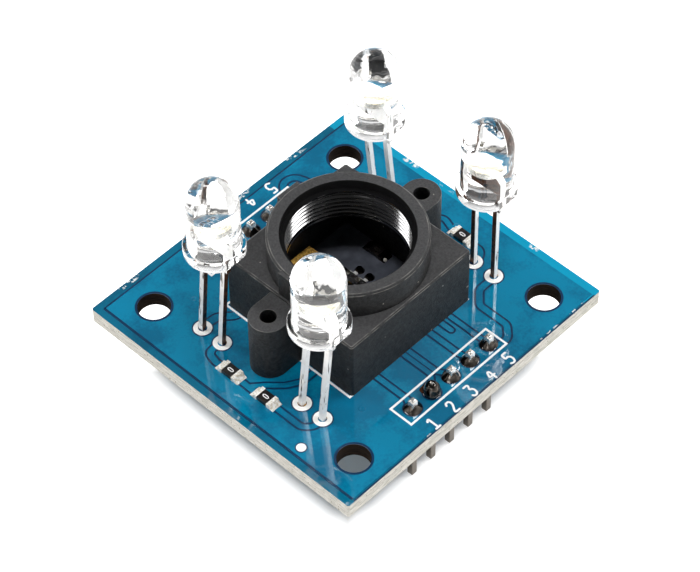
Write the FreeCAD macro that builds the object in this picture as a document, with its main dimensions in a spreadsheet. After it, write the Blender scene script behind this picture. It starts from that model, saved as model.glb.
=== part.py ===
import FreeCAD, Part
import os
import re
import Sketcher
from FreeCAD import Rotation, Vector

# Colour sensor module: a square board that stands on two pin headers, with a sensor chip under
# a threaded lens holder and four clear lamps on long legs around it.
# Millimetres. X runs along the header rows, Y across them, Z up from the tips of the pins.
# The origin is under the middle of the board's outline.

SIZES = (
    ("board_length", 33.7, "board, along the header rows"),
    ("board_width", 32.7, "board, across the header rows"),
    ("board_thick", 1.6, "board thickness"),
    ("board_corner", 0.25, "board corner radius"),
    ("grid_shift", -0.37, "middle of the hole grid, across the rows"),
    ("mount_pitch", 25.4, "mounting holes, centre to centre"),
    ("mount_hole", 3.2, "mounting hole diameter"),
    ("pin_pitch", 2.54, "header pins, centre to centre"),
    ("pin_count", 5, "pins in a header"),
    ("row_pitch", 25.4, "header rows, centre to centre"),
    ("pin_side", 0.64, "square pin"),
    ("pin_below", 5.5, "pin below its strip"),
    ("pin_above", 1.35, "pin above the board"),
    ("pin_chamfer", 0.16, "chamfer at the pin tips"),
    ("pin_drill", 1.0, "board hole for a pin"),
    ("strip_width", 2.48, "moulded strip of a header"),
    ("strip_height", 2.5, "height of the strip"),
    ("strip_notch", 0.55, "notch between the cells of a strip"),
    ("cone_foot", 1.75, "solder cone, diameter at the board"),
    ("cone_head", 0.98, "solder cone, diameter at its top"),
    ("cone_height", 0.95, "solder cone height"),
    ("holder_side", 15.7, "lens holder, square base"),
    ("holder_wall", 0.95, "wall of the holder's base"),
    ("holder_base", 6.9, "height of the square base"),
    ("holder_corner", 0.3, "upright corners of the base"),
    ("holder_edge", 0.15, "top edges of the base"),
    ("chamber_height", 5.5, "height of the chamber over the sensor"),
    ("collar_outer", 14.9, "round collar, outside diameter"),
    ("collar_height", 9.85, "top of the collar over the board"),
    ("collar_edge", 0.2, "outer top edge of the collar"),
    ("thread_bore", 11.46, "bore of the fine lens thread"),
    ("lead_in_bore", 12.4, "plain counterbore over the thread"),
    ("lead_in_depth", 0.95, "depth of that counterbore"),
    ("draft", 7, "draft of the moulded packages, in degrees"),
    ("tab_reach", 8.35, "point of the corner tab, from the lens axis"),
    ("tab_root", 6.0, "foot of the corner tab, from the lens axis"),
    ("tab_half", 2.9, "half width of the corner tab at its foot"),
    ("rib_width", 2.6, "flat ribs on two sides of the collar"),
    ("ear_pitch", 20.1, "screw holes of the holder, centre to centre"),
    ("ear_shift", 0.3, "ears, off the middle of the base, across the rows"),
    ("ear_width", 3.7, "width of an ear"),
    ("ear_height", 6.6, "height of an ear"),
    ("ear_bore", 1.55, "screw hole in an ear"),
    ("screw_length", 6.0, "screw under its head"),
    ("screw_gap", 0.35, "play of the screw in the board"),
    ("head_wide", 3.4, "screw head diameter"),
    ("head_high", 1.2, "screw head height"),
    ("cross_width", 0.5, "arm of the cross recess"),
    ("cross_span", 1.8, "cross recess, tip to tip"),
    ("cross_depth", 0.7, "cross recess depth"),
    ("lamp_span", 22.86, "lamp pairs, centre to centre along the rows"),
    ("lamp_pitch", 12.7, "lamp centres, across the rows"),
    ("lead_pitch", 2.54, "the two leads of a lamp"),
    ("lead_side", 0.5, "square lead"),
    ("lead_tail", 1.3, "lead below the board"),
    ("lead_foot", 0.5, "upright start of a lead over the board"),
    ("lead_drill", 1.0, "board hole for a lead"),
    ("stub_drop", 1.5, "lead stub below the flange"),
    ("stub_reach", 0.3, "lead stub, past the lead"),
    ("stub_height", 0.45, "lead stub height"),
    ("lamp_body", 4.8, "lamp body diameter"),
    ("lamp_flange", 5.7, "lamp flange diameter"),
    ("flange_high", 0.95, "lamp flange height"),
    ("flange_flat", 2.52, "flat on the flange, from the axis"),
    ("lamp_height", 8.5, "lamp, flange to crown"),
    ("rise_1", 12.05, "lamp 1 flange over the board"),
    ("rise_2", 11.95, "lamp 2 flange over the board"),
    ("rise_3", 11.1, "lamp 3 flange over the board"),
    ("rise_4", 11.0, "lamp 4 flange over the board"),
    ("lean_1", 0.51, "lamp 1 sideways, along X and against Y"),
    ("lean_2", 0.6, "lamp 2 sideways"),
    ("lean_3", 0.0, "lamp 3 sideways"),
    ("lean_4", -0.58, "lamp 4 sideways"),
    ("anvil_foot", 1.0, "anvil leaves its lead at this height in the lamp"),
    ("anvil_half", 0.72, "half width of the anvil's head"),
    ("anvil_neck", 2.3, "underside of the anvil's head"),
    ("anvil_top", 3.5, "top of the anvil"),
    ("post_top", 3.8, "top of the post"),
    ("chip_wide", 1.1, "lamp chip and its phosphor, diameter"),
    ("chip_high", 0.35, "lamp chip and its phosphor, height"),
    ("joint_wide", 1.8, "solder joint under a lamp lead"),
    ("joint_tip", 0.8, "diameter of that joint at its tip"),
    ("joint_high", 0.9, "height of that joint"),
    ("joint_fill", 0.7, "solder up inside the board hole"),
    ("sensor_wide", 3.9, "sensor package, along X"),
    ("sensor_long", 4.9, "sensor package, along Y"),
    ("sensor_base", 0.15, "gap under the package"),
    ("sensor_part", 0.75, "parting line of the package"),
    ("sensor_top", 1.6, "top of the package"),
    ("sensor_span", 6.0, "package leads, toe to toe"),
    ("gull_pitch", 1.27, "package leads, centre to centre"),
    ("gull_wide", 0.42, "package lead width"),
    ("gull_thick", 0.2, "package lead thickness"),
    ("gull_root", 1.6, "package lead starts inside the package, from the middle"),
    ("gull_knee", 2.35, "package lead turns down here, from the middle"),
    ("toe_wide", 1.05, "solder at a package lead, diameter on the board"),
    ("toe_head", 0.6, "the same, diameter at its top"),
    ("toe_high", 0.35, "the same, height"),
    ("toe_out", 0.4, "middle of that solder, past the end of the lead"),
    ("paddle_side", 2.3, "paddle under the die"),
    ("paddle_thick", 0.2, "paddle thickness"),
    ("paddle_lift", 0.5, "paddle over the board"),
    ("die_side", 1.5, "sensor die"),
    ("die_thick", 0.3, "die thickness"),
    ("chip_long", 2.0, "chip resistor length"),
    ("chip_broad", 1.25, "chip resistor width"),
    ("chip_thick", 0.5, "chip resistor thickness"),
    ("cap_long", 0.4, "end cap of a chip resistor"),
    ("cap_skin", 0.03, "end cap skin"),
    ("fillet_long", 0.55, "solder fillet, along the part"),
    ("fillet_high", 0.42, "solder fillet height at the part"),
    ("left_chip_x", 13.35, "chip resistors on the left, from the grid's middle"),
    ("right_chip_x", 12.95, "chip resistor on the right, from the grid's middle"),
    ("chip_1_y", 2.05, "chip resistor 1, across the rows"),
    ("chip_2_y", -2.4, "chip resistor 2, across the rows"),
    ("chip_3_y", -2.3, "chip resistor 3, across the rows"),
    ("inner_chip_gap", 0.1, "play between the chip resistor in the chamber and the wall"),
    ("inner_chip_y", 2.25, "chip resistor in the chamber, across the rows"),
    ("tantalum_long", 3.2, "tantalum capacitor over its terminals"),
    ("tantalum_wide", 1.6, "tantalum capacitor width"),
    ("tantalum_top", 1.65, "top of the capacitor"),
    ("tantalum_part", 0.9, "parting line of the capacitor"),
    ("strap_thick", 0.1, "terminal strap thickness"),
    ("strap_wide", 1.2, "terminal strap width"),
    ("strap_foot", 0.8, "terminal strap under the capacitor"),
    ("tantalum_gap", 0.35, "play between the capacitor and the chamber wall"),
)

UNDER = "strip_height + pin_below"
TOP = UNDER + " + board_thick"
LAMPS = (
    ("led_1", -1, 1),
    ("led_2", -1, -1),
    ("led_3", 1, -1),
    ("led_4", 1, 1),
)
RESISTORS = (
    ("resistor_1", "-left_chip_x", "chip_1_y"),
    ("resistor_2", "-left_chip_x", "chip_2_y"),
    ("resistor_3", "right_chip_x", "chip_3_y"),
    ("resistor_4", "holder_side / 2 - holder_wall - inner_chip_gap - chip_broad / 2", "inner_chip_y"),
)

doc = FreeCAD.newDocument("ColorSensorModule")
sheet = doc.addObject("Spreadsheet::Sheet", "Sizes")
for row, (alias, size, note) in enumerate(SIZES, start=1):
    sheet.set(f"A{row}", note)
    sheet.set(f"B{row}", str(size))
    sheet.setAlias(f"B{row}", alias)
doc.recompute()

ALIASES = re.compile(r"\b(" + "|".join(alias for alias, size, note in SIZES) + r")\b")
NODES = []


def linked(formula):
    """The formula with each size written as a cell of the sheet."""
    return ALIASES.sub(r"Sizes.\1", formula)


def number(formula):
    """What the formula comes to with the sizes of the sheet."""
    return float(sheet.evalExpression(linked(formula)))


def bind(target, prop, formula):
    target.setExpression(prop, linked(formula))


def place(target, across="0", along="0", lift="0"):
    """Put the object at a place that follows the sheet."""
    bind(target, "Placement.Base.x", across)
    bind(target, "Placement.Base.y", along)
    bind(target, "Placement.Base.z", lift)


def node(target, name):
    """Mark an object as one piece of the module."""
    target.Label = name
    NODES.append(target)
    return target


def new_body(name):
    body = doc.addObject("PartDesign::Body", name)
    body.AllowCompound = True
    return body


def origin_feature(body, role):
    return next(item for item in body.Origin.OriginFeatures if item.Role == role)


def new_sketch(body, name, lift="0", role="XY_Plane"):
    sketch = body.newObject("Sketcher::SketchObject", name)
    sketch.AttachmentSupport = (origin_feature(body, role), "")
    sketch.MapMode = "FlatFace"
    bind(sketch, "AttachmentOffset.Base.z", lift)
    return sketch


def hold(sketch, kind, geometry, vertex, formula):
    """Hold a vertex at a signed distance from the sketch's origin."""
    index = sketch.addConstraint(Sketcher.Constraint(kind, -1, 1, geometry, vertex, number(formula)))
    name = f"held_{index}"
    sketch.renameConstraint(index, name)
    bind(sketch, f"Constraints.{name}", formula)


def set_radius(sketch, geometry, formula):
    index = sketch.addConstraint(Sketcher.Constraint("Radius", geometry, number(formula)))
    name = f"radius_{index}"
    sketch.renameConstraint(index, name)
    bind(sketch, f"Constraints.{name}", formula)


def circle(sketch, across, along, radius):
    centre = Vector(number(across), number(along), 0)
    index = sketch.addGeometry(Part.Circle(centre, Vector(0, 0, 1), number(radius)), False)
    hold(sketch, "DistanceX", index, 3, across)
    hold(sketch, "DistanceY", index, 3, along)
    set_radius(sketch, index, radius)


def arc_between(start, end, centre):
    """The short arc between two points, and whether it runs from start to end."""
    forward = (start - centre).cross(end - centre).z > 0
    first, last = (start, end) if forward else (end, start)
    angles = [Vector(1, 0, 0).getAngle(p - centre) * (1 if p.y >= centre.y else -1) for p in (first, last)]
    base = Part.Circle(centre, Vector(0, 0, 1), (start - centre).Length)
    return Part.ArcOfCircle(base, angles[0], angles[1]), forward


def outline(sketch, corners):
    """Closed outline. A corner is (x, y), or (x, y, centre x, centre y, radius) before an arc."""
    points = [Vector(number(corner[0]), number(corner[1]), 0) for corner in corners]
    starts = []
    ends = []
    for position, corner in enumerate(corners):
        start = points[position]
        end = points[(position + 1) % len(points)]
        forward = True
        if len(corner) == 2:
            shape = Part.LineSegment(start, end)
        else:
            centre = Vector(number(corner[2]), number(corner[3]), 0)
            shape, forward = arc_between(start, end, centre)
        index = sketch.addGeometry(shape, False)
        starts.append((index, 1 if forward else 2))
        ends.append((index, 2 if forward else 1))
    for position, end in enumerate(ends):
        following = starts[(position + 1) % len(starts)]
        sketch.addConstraint(Sketcher.Constraint("Coincident", end[0], end[1], following[0], following[1]))
    for position, corner in enumerate(corners):
        index, vertex = starts[position]
        hold(sketch, "DistanceX", index, vertex, corner[0])
        hold(sketch, "DistanceY", index, vertex, corner[1])
        if len(corner) > 2:
            set_radius(sketch, index, corner[4])


def rectangle(sketch, left, front, right, back):
    outline(sketch, ((left, front), (right, front), (right, back), (left, back)))


def box_outline(sketch, width, depth, across="0", along="0"):
    rectangle(sketch, f"{across} - ({width}) / 2", f"{along} - ({depth}) / 2",
              f"{across} + ({width}) / 2", f"{along} + ({depth}) / 2")


def pad(body, sketch, length, down=False, both=False, taper="0"):
    feature = body.newObject("PartDesign::Pad", sketch.Name + "_pad")
    feature.Profile = sketch
    bind(feature, "Length", length)
    bind(feature, "TaperAngle", taper)
    feature.Reversed = down
    if both:
        feature.SideType = "Symmetric"
    return feature


def pocket(body, sketch, length=None, upward=True):
    """Cut upward or downward from the sketch, all the way where no length is given."""
    before = solid_volume(body)
    feature = body.newObject("PartDesign::Pocket", sketch.Name + "_pocket")
    feature.Profile = sketch
    feature.Reversed = upward
    if length is None:
        feature.Type = "ThroughAll"
    else:
        bind(feature, "Length", length)
    doc.recompute()
    if solid_volume(body) >= before:
        raise RuntimeError(f"{feature.Name} cuts nothing")
    return feature


def solid_volume(body):
    doc.recompute()
    return body.Shape.Volume


def revolve(body, sketch):
    feature = body.newObject("PartDesign::Revolution", sketch.Name + "_turned")
    feature.Profile = sketch
    feature.ReferenceAxis = (sketch, ["V_Axis"])
    feature.Angle = 360
    return feature


def row_of(body, feature, role, length, count):
    pattern = body.newObject("PartDesign::LinearPattern", feature.Name + "_row")
    pattern.Originals = [feature]
    pattern.Direction = (origin_feature(body, role), [""])
    bind(pattern, "Length", length)
    bind(pattern, "Occurrences", count)
    body.Tip = pattern
    return pattern


def mirror(body, feature, role):
    mirrored = body.newObject("PartDesign::Mirrored", feature.Name + "_mirrored")
    mirrored.Originals = [feature]
    mirrored.MirrorPlane = (origin_feature(body, role), [""])
    body.Tip = mirrored
    return mirrored


def edges_where(feature, test):
    return [f"Edge{i}" for i, edge in enumerate(feature.Shape.Edges, start=1) if test(edge)]


def level(edge, height):
    """Whether the whole edge lies at one height."""
    box = edge.BoundBox
    return abs(box.ZMin - height) < 1e-4 and abs(box.ZMax - height) < 1e-4


def upright(edge):
    box = edge.BoundBox
    return box.XLength < 1e-4 and box.YLength < 1e-4


def soften(body, kind, feature, test, formula):
    """Round or bevel the edges of the last feature that pass the test."""
    doc.recompute()
    dressed = body.newObject("PartDesign::" + kind, f"{feature.Name}_{kind.lower()}")
    dressed.Base = (feature, edges_where(feature, test))
    bind(dressed, "Radius" if kind == "Fillet" else "Size", formula)
    doc.recompute()
    return dressed


def primitive(kind, name, **formulas):
    solid = doc.addObject("Part::" + kind, name)
    for prop, formula in formulas.items():
        bind(solid, prop, formula)
    return solid


def cut(name, base, tool):
    result = doc.addObject("Part::Cut", name)
    result.Base = base
    result.Tool = tool
    return result


def joined(name, shapes):
    result = doc.addObject("Part::MultiFuse", name)
    result.Shapes = shapes
    return result


def lamp_y(side):
    return f"grid_shift + ({side}) * lamp_pitch / 2"


def lamp_x(side):
    return f"({side}) * lamp_span / 2"


def make_board():
    """Laminate with its mounting, pin, lead and screw holes."""
    body = new_body("circuit_board")
    panel = new_sketch(body, "board_outline")
    box_outline(panel, "board_length", "board_width")
    laminate = pad(body, panel, "board_thick")
    soften(body, "Fillet", laminate, upright, "board_corner")
    mounts = new_sketch(body, "mounting_holes")
    for side in (-1, 1):
        for end in (-1, 1):
            circle(mounts, f"({side}) * mount_pitch / 2", f"grid_shift + ({end}) * mount_pitch / 2",
                   "mount_hole / 2")
    pocket(body, mounts)
    for name, end in (("near", -1), ("far", 1)):
        drill = new_sketch(body, f"{name}_row_hole")
        circle(drill, "-(pin_count - 1) / 2 * pin_pitch", f"grid_shift + ({end}) * row_pitch / 2",
               "pin_drill / 2")
        row_of(body, pocket(body, drill), "X_Axis", "(pin_count - 1) * pin_pitch", "pin_count")
    leads = new_sketch(body, "lead_holes")
    for name, side, end in LAMPS:
        for lead in (-1, 1):
            circle(leads, lamp_x(side), f"{lamp_y(end)} + ({lead}) * lead_pitch / 2", "lead_drill / 2")
    pocket(body, leads)
    screws = new_sketch(body, "screw_holes")
    for side in (-1, 1):
        circle(screws, f"({side}) * ear_pitch / 2", "grid_shift + ear_shift", "ear_bore / 2 + screw_gap")
    pocket(body, screws)
    place(body, lift=UNDER)
    return node(body, "circuit_board")


def make_holder():
    """Moulded lens holder: hollow square base, threaded collar, two ears, a tab and two ribs."""
    body = new_body("lens_holder")
    foot = new_sketch(body, "base_outline")
    box_outline(foot, "holder_side", "holder_side")
    block = pad(body, foot, "holder_base")
    sides = soften(body, "Fillet", block, upright, "holder_corner")
    soften(body, "Chamfer", sides, lambda edge: level(edge, number("holder_base")), "holder_edge")
    webs = new_sketch(body, "ear_webs")
    box_outline(webs, "ear_pitch", "ear_width", "0", "ear_shift")
    pad(body, webs, "ear_height")
    for name, side in (("left", -1), ("right", 1)):
        ear = new_sketch(body, f"{name}_ear")
        circle(ear, f"({side}) * ear_pitch / 2", "ear_shift", "ear_width / 2")
        pad(body, ear, "ear_height")
    ring = new_sketch(body, "collar", "holder_base / 2")
    circle(ring, "0", "0", "collar_outer / 2")
    collar = pad(body, ring, "collar_height - holder_base / 2")
    soften(body, "Chamfer", collar, lambda edge: level(edge, number("collar_height")), "collar_edge")
    tab = new_sketch(body, "corner_tab", "holder_base / 2")
    outline(tab, (
        ("tab_reach * sqrt(0.5)", "tab_reach * sqrt(0.5)"),
        ("(tab_root - tab_half) * sqrt(0.5)", "(tab_root + tab_half) * sqrt(0.5)"),
        ("(tab_root + tab_half) * sqrt(0.5)", "(tab_root - tab_half) * sqrt(0.5)"),
    ))
    pad(body, tab, "collar_height - collar_edge - holder_base / 2")
    ribs = new_sketch(body, "side_ribs", "holder_base / 2")
    rectangle(ribs, "-rib_width / 2", "(thread_bore + collar_outer) / 4", "rib_width / 2",
              "holder_side / 2 - holder_edge")
    pad(body, ribs, "collar_height - collar_edge / 2 - holder_base / 2")
    rib = new_sketch(body, "left_rib", "holder_base / 2")
    rectangle(rib, "-holder_side / 2 + holder_edge", "-rib_width / 2", "-(thread_bore + collar_outer) / 4",
              "rib_width / 2")
    pad(body, rib, "collar_height - collar_edge / 2 - holder_base / 2")
    chamber = new_sketch(body, "chamber")
    box_outline(chamber, "holder_side - 2 * holder_wall", "holder_side - 2 * holder_wall")
    pocket(body, chamber, "chamber_height")
    bore = new_sketch(body, "bore")
    circle(bore, "0", "0", "thread_bore / 2")
    pocket(body, bore)
    entry = new_sketch(body, "lead_in", "collar_height")
    circle(entry, "0", "0", "lead_in_bore / 2")
    pocket(body, entry, "lead_in_depth", upward=False)
    holes = new_sketch(body, "ear_holes")
    for side in (-1, 1):
        circle(holes, f"({side}) * ear_pitch / 2", "ear_shift", "ear_bore / 2")
    pocket(body, holes)
    place(body, along="grid_shift", lift=TOP)
    return node(body, "lens_holder")


def make_holder_screws():
    """Two screws that come up through the board into the ears."""
    screws = []
    for name, side in (("left", -1), ("right", 1)):
        shank = primitive("Cylinder", f"{name}_shank", Radius="ear_bore / 2", Height="screw_length")
        head = primitive("Cylinder", f"{name}_head", Radius="head_wide / 2", Height="head_high")
        head.Placement.Rotation = Rotation(Vector(1, 0, 0), 180)
        blank = joined(f"{name}_blank", [shank, head])
        arms = []
        for length, width in (("cross_span", "cross_width"), ("cross_width", "cross_span")):
            slot = primitive("Box", f"{name}_{length}_slot", Length=length, Width=width, Height="cross_depth")
            place(slot, f"-({length}) / 2", f"-({width}) / 2", "-head_high")
            arms.append(slot)
        screw = cut(f"{name}_screw", blank, joined(f"{name}_cross", arms))
        place(screw, f"({side}) * ear_pitch / 2", "grid_shift + ear_shift", UNDER)
        screws.append(screw)
    return node(joined("holder_screws", screws), "holder_screws")


def make_sensor():
    """Clear package with its die and paddle inside, eight bent leads and their solder."""
    frame = new_body("sensor_leads")
    profile = new_sketch(frame, "gull_profile", "(gull_pitch * 3) / 2", role="XZ_Plane")
    for side in ("-1", "1"):
        outline(profile, (
            (f"{side} * gull_root", "sensor_part - gull_thick / 2"),
            (f"{side} * (gull_knee - gull_thick)", "sensor_part - gull_thick / 2"),
            (f"{side} * (gull_knee - gull_thick / 4)", "0"),
            (f"{side} * sensor_span / 2", "0"),
            (f"{side} * sensor_span / 2", "gull_thick"),
            (f"{side} * (gull_knee + gull_thick * 0.6)", "gull_thick"),
            (f"{side} * gull_knee", "sensor_part + gull_thick / 2"),
            (f"{side} * gull_root", "sensor_part + gull_thick / 2"),
        ))
    first = pad(frame, profile, "gull_wide", both=True)
    row_of(frame, first, "Y_Axis", "gull_pitch * 3", "4")
    place(frame, along="grid_shift", lift=TOP)
    node(frame, "sensor_leads")

    paddle = primitive("Box", "sensor_paddle", Length="paddle_side", Width="paddle_side",
                       Height="paddle_thick")
    place(paddle, "-paddle_side / 2", "grid_shift - paddle_side / 2", TOP + " + paddle_lift")
    node(paddle, "sensor_paddle")
    die = primitive("Box", "sensor_die", Length="die_side", Width="die_side", Height="die_thick")
    place(die, "-die_side / 2", "grid_shift - die_side / 2", TOP + " + paddle_lift + paddle_thick")
    node(die, "sensor_die")

    body = new_body("package_blank")
    lower = new_sketch(body, "package_lower", "sensor_part")
    box_outline(lower, "sensor_wide", "sensor_long")
    pad(body, lower, "sensor_part - sensor_base", down=True, taper="-draft")
    upper = new_sketch(body, "package_upper", "sensor_part")
    box_outline(upper, "sensor_wide", "sensor_long")
    pad(body, upper, "sensor_top - sensor_part", taper="-draft")
    place(body, along="grid_shift", lift=TOP)
    node(cut("sensor_package", body, joined("package_inside", [frame, paddle, die])), "sensor_package")

    blobs = []
    for side in (-1, 1):
        for index in range(4):
            blob = primitive("Cone", f"toe_{side + 1}_{index}", Radius1="toe_wide / 2", Radius2="toe_head / 2",
                             Height="toe_high")
            place(blob, f"({side}) * (sensor_span / 2 + toe_out)",
                  f"grid_shift + ({index} - 1.5) * gull_pitch", TOP)
            blobs.append(blob)
    node(cut("sensor_solder", joined("toe_blobs", blobs), frame), "sensor_solder")


def make_lamp(name, side, end):
    """Clear lamp on two long leads, with anvil, post and phosphor inside."""
    rise = name.replace("led", "rise")
    lean = name.replace("led", "lean")
    plate = []
    for part, lead in (("cathode", -1), ("anode", 1)):
        body = new_body(f"{name}_{part}")
        tail = new_sketch(body, f"{name}_{part}_tail", "-board_thick - lead_tail")
        box_outline(tail, "lead_side", "lead_side")
        pad(body, tail, "board_thick + lead_tail + lead_foot")
        low = new_sketch(body, f"{name}_{part}_low", "lead_foot")
        box_outline(low, "lead_side", "lead_side")
        high = new_sketch(body, f"{name}_{part}_high", rise)
        box_outline(high, "lead_side", "lead_side", lean, f"-{lean}")
        leg = body.newObject("PartDesign::AdditiveLoft", f"{name}_{part}_leg")
        leg.Profile = low
        leg.Sections = [high]
        leg.Ruled = True
        share = f"({lean} * ({rise} - stub_drop - lead_foot) / ({rise} - lead_foot))"
        stub = new_sketch(body, f"{name}_{part}_stub", f"{rise} - stub_drop")
        box_outline(stub, "lead_side", "lead_side + 2 * stub_reach", share, f"-{share}")
        pad(body, stub, "stub_height", both=True)
        head = new_sketch(body, f"{name}_{part}_head", lean, role="YZ_Plane")
        flat = f"(-{lean} - ({lead}) * lead_pitch / 2)"
        edge = "(lead_pitch / 2 + lead_side / 2)"
        inner = "(lead_pitch / 2 - lead_side / 2)"
        if part == "cathode":
            outline(head, (
                (f"{flat} - {edge}", rise),
                (f"{flat} - {inner}", rise),
                (f"{flat} - {inner}", f"{rise} + anvil_foot"),
                (f"{flat} + anvil_half", f"{rise} + anvil_neck"),
                (f"{flat} + anvil_half", f"{rise} + anvil_top"),
                (f"{flat} - anvil_half", f"{rise} + anvil_top"),
                (f"{flat} - {edge}", f"{rise} + anvil_neck"),
            ))
        else:
            outline(head, (
                (f"{flat} + {inner}", rise),
                (f"{flat} + {edge}", rise),
                (f"{flat} + {edge}", f"{rise} + post_top - lead_side"),
                (f"{flat} + {inner} + lead_side / 2", f"{rise} + post_top"),
                (f"{flat} + {inner}", f"{rise} + post_top"),
            ))
        pad(body, head, "lead_side", both=True)
        place(body, lamp_x(side), f"{lamp_y(end)} + ({lead}) * lead_pitch / 2", TOP)
        plate.append(node(body, f"{name}_{part}"))

    phosphor = new_body(f"{name}_phosphor")
    dome = new_sketch(phosphor, f"{name}_phosphor_profile", role="XZ_Plane")
    crown = "((chip_wide * chip_wide / 4 + chip_high * chip_high) / (2 * chip_high))"
    outline(dome, (
        ("0", "0"),
        ("chip_wide / 2", "0", "0", f"chip_high - {crown}", crown),
        ("0", "chip_high"),
    ))
    revolve(phosphor, dome)
    place(phosphor, f"{lamp_x(side)} + {lean}", f"{lamp_y(end)} - {lean}", f"{TOP} + {rise} + anvil_top")
    node(phosphor, f"{name}_phosphor")

    blank = new_body(f"{name}_blank")
    profile = new_sketch(blank, f"{name}_profile", role="XZ_Plane")
    outline(profile, (
        ("0", "0"),
        ("lamp_flange / 2", "0"),
        ("lamp_flange / 2", "flange_high"),
        ("lamp_body / 2", "flange_high"),
        ("lamp_body / 2", "lamp_height - lamp_body / 2", "0", "lamp_height - lamp_body / 2", "lamp_body / 2"),
        ("0", "lamp_height"),
    ))
    revolve(blank, profile)
    flat = new_sketch(blank, f"{name}_flat")
    rectangle(flat, "-lamp_flange", "-lamp_flange", "lamp_flange", "-flange_flat")
    pocket(blank, flat, "flange_high")
    place(blank, f"{lamp_x(side)} + {lean}", f"{lamp_y(end)} - {lean}", f"{TOP} + {rise}")
    node(cut(f"{name}_lens", blank, joined(f"{name}_inside", plate + [phosphor])), f"{name}_lens")


def make_lead_joints():
    """Solder under the board at each lamp lead, up into the hole."""
    blobs = []
    for name, side, end in LAMPS:
        for lead in (-1, 1):
            tag = f"{name}_{lead + 1}"
            fill = primitive("Cylinder", f"{tag}_fill", Radius="lead_drill / 2", Height="joint_fill")
            foot = primitive("Cone", f"{tag}_cone", Radius1="joint_tip / 2", Radius2="joint_wide / 2",
                             Height="joint_high")
            place(foot, lift="-joint_high")
            blob = joined(f"{tag}_blob", [fill, foot])
            place(blob, lamp_x(side), f"{lamp_y(end)} + ({lead}) * lead_pitch / 2", UNDER)
            blobs.append(blob)
    leads = [item for item in NODES if item.Label.endswith(("anode", "cathode"))]
    node(cut("led_solder", joined("lead_blobs", blobs), joined("lead_pairs", leads)), "led_solder")


def make_header(name, end):
    """Moulded strip with its pins, and the solder cones on top of the board."""
    row = f"grid_shift + ({end}) * row_pitch / 2"
    start = "-(pin_count - 1) / 2 * pin_pitch"
    strip = new_body(f"{name}_body")
    cell = new_sketch(strip, f"{name}_cell")
    half = "pin_pitch / 2"
    deep = "strip_width / 2"
    outline(cell, (
        (f"{start} - {half} + strip_notch", f"-{deep}"),
        (f"{start} + {half} - strip_notch", f"-{deep}"),
        (f"{start} + {half}", f"-{deep} + strip_notch"),
        (f"{start} + {half}", f"{deep} - strip_notch"),
        (f"{start} + {half} - strip_notch", deep),
        (f"{start} - {half} + strip_notch", deep),
        (f"{start} - {half}", f"{deep} - strip_notch"),
        (f"{start} - {half}", f"-{deep} + strip_notch"),
    ))
    row_of(strip, pad(strip, cell, "strip_height"), "X_Axis", "(pin_count - 1) * pin_pitch", "pin_count")
    slot = new_sketch(strip, f"{name}_slot")
    box_outline(slot, "pin_side", "pin_side", start)
    row_of(strip, pocket(strip, slot), "X_Axis", "(pin_count - 1) * pin_pitch", "pin_count")
    place(strip, along=row, lift="pin_below")
    node(strip, f"{name}_body")

    pins = []
    cones = []
    for index in range(round(number("pin_count"))):
        across = f"({index} - (pin_count - 1) / 2) * pin_pitch"
        pin = new_body(f"{name}_pin_{index + 1}")
        section = new_sketch(pin, f"{name}_pin_section_{index + 1}")
        box_outline(section, "pin_side", "pin_side")
        shaft = pad(pin, section, TOP + " + pin_above")
        soften(pin, "Chamfer", shaft, lambda edge: not upright(edge), "pin_chamfer")
        place(pin, across, row)
        pins.append(node(pin, f"{name}_pin_{index + 1}"))

        cone = new_body(f"{name}_cone_{index + 1}")
        profile = new_sketch(cone, f"{name}_cone_profile_{index + 1}", role="XZ_Plane")
        outline(profile, (
            ("0", "-board_thick"),
            ("pin_drill / 2", "-board_thick"),
            ("pin_drill / 2", "0"),
            ("cone_foot / 2", "0"),
            ("cone_head / 2 + (cone_foot - cone_head) * 0.15", "cone_height * 0.42"),
            ("cone_head / 2", "cone_height"),
            ("0", "cone_height"),
        ))
        revolve(cone, profile)
        place(cone, across, row, TOP)
        cones.append(cone)
    solder = cut(f"{name}_solder", joined(f"{name}_cones", cones), joined(f"{name}_pins", pins))
    node(solder, f"{name}_solder")


def end_fillets(name, reach, width, height):
    """Two solder fillets, one past each end of a part that lies along X."""
    body = new_body(name)
    profile = new_sketch(body, f"{name}_profile", role="XZ_Plane")
    outline(profile, (
        (reach, "0"),
        (f"{reach} + fillet_long", "0"),
        (f"{reach} + fillet_long * 0.3", f"({height}) * 0.35"),
        (reach, height),
    ))
    mirror(body, pad(body, profile, width, both=True), "YZ_Plane")
    return body


def make_resistor(name, across, along):
    """Chip resistor across the header rows: ceramic block, end caps and solder."""
    turned = Rotation(Vector(0, 0, 1), 90)
    block = new_body(f"{name}_body")
    waist = new_sketch(block, f"{name}_waist", role="XZ_Plane")
    skin = "cap_skin"
    end = "chip_long / 2"
    outline(waist, (
        (f"-{end} + {skin}", skin),
        (f"{end} - {skin}", skin),
        (f"{end} - {skin}", f"chip_thick - {skin}"),
        (f"-{end} + {skin}", f"chip_thick - {skin}"),
    ))
    pad(block, waist, f"chip_broad - 2 * {skin}", both=True)
    caps = new_body(f"{name}_cap_blank")
    wrap = new_sketch(caps, f"{name}_wrap", role="XZ_Plane")
    rectangle(wrap, f"{end} - cap_long", "0", end, "chip_thick")
    mirror(caps, pad(caps, wrap, "chip_broad", both=True), "YZ_Plane")
    joints = end_fillets(f"{name}_solder", end, "chip_broad", "fillet_high")
    for part in (block, caps, joints):
        part.Placement.Rotation = turned
        place(part, across, f"grid_shift + {along}", TOP)
    node(block, f"{name}_body")
    node(cut(f"{name}_ends", caps, block), f"{name}_ends")
    node(joints, f"{name}_solder")


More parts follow.
